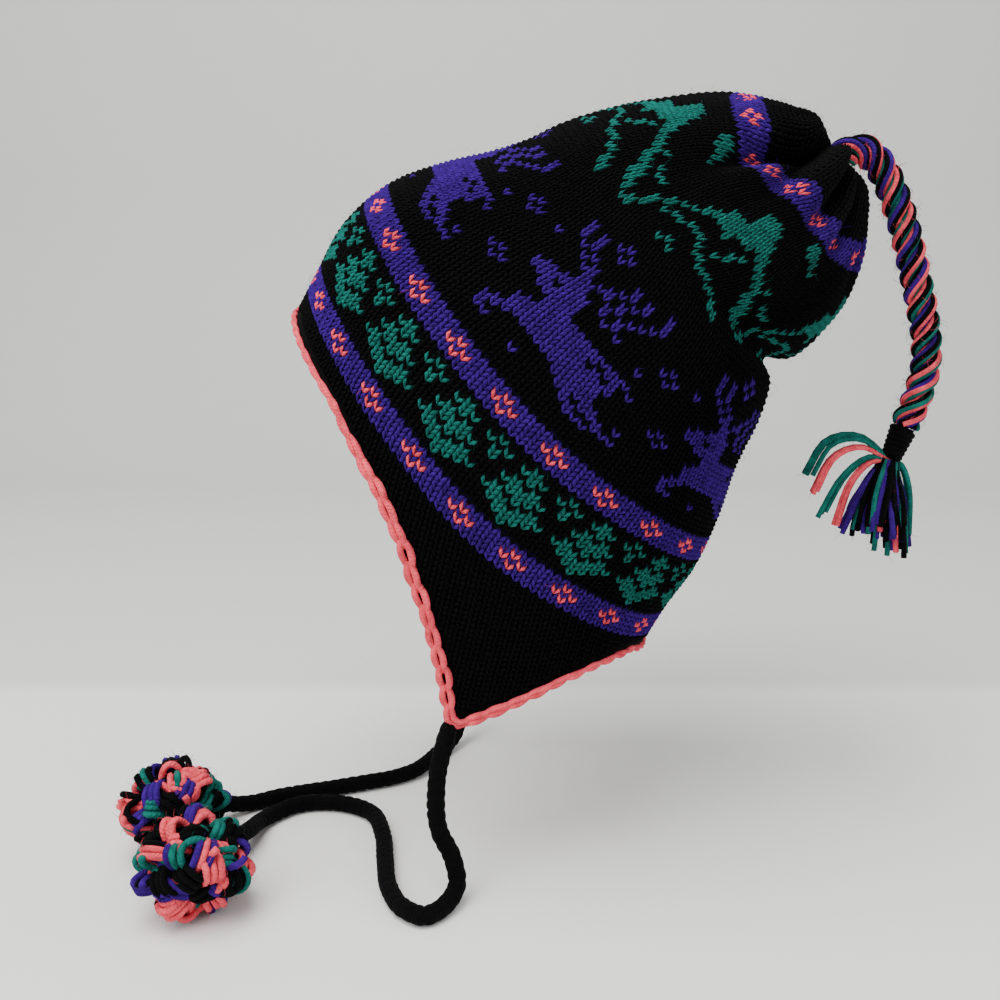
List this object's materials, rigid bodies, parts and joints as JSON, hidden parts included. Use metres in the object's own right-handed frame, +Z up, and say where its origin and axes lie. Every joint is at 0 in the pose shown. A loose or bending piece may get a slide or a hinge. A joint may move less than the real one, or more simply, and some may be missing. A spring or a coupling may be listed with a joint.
{
  "type": "chullo hat",
  "caption": "Fair-isle knitted cap with ear flaps, a crochet edge, braided ties ending in pompoms, and a tasselled cord at its slouching top.",
  "frame": {"origin": "on the shell's inner face, where the crown of the wearer's head touches it", "axes": "+Z up, -Y the way the wearer faces, +X towards the wearer's left ear"},
  "size_m": [0.1795, 0.3343, 0.3011],
  "materials": {
    "knit": "matt jacquard-knitted acrylic yarn in black, purple, teal and coral",
    "edge_yarn": "matt crocheted acrylic yarn",
    "tie_yarn": "matt knitted acrylic yarn",
    "mixed_yarn": "matt twisted and looped acrylic yarn in four colours"
  },
  "bodies": {
    "root": {"crown": "knit", "edging": "edge_yarn", "tie_left": "tie_yarn", "tie_right": "tie_yarn", "pompom_left": "mixed_yarn", "pompom_right": "mixed_yarn", "top_cord": "mixed_yarn", "cord_binding": "tie_yarn", "tassel": "mixed_yarn"}
  },
  "joints": []
}
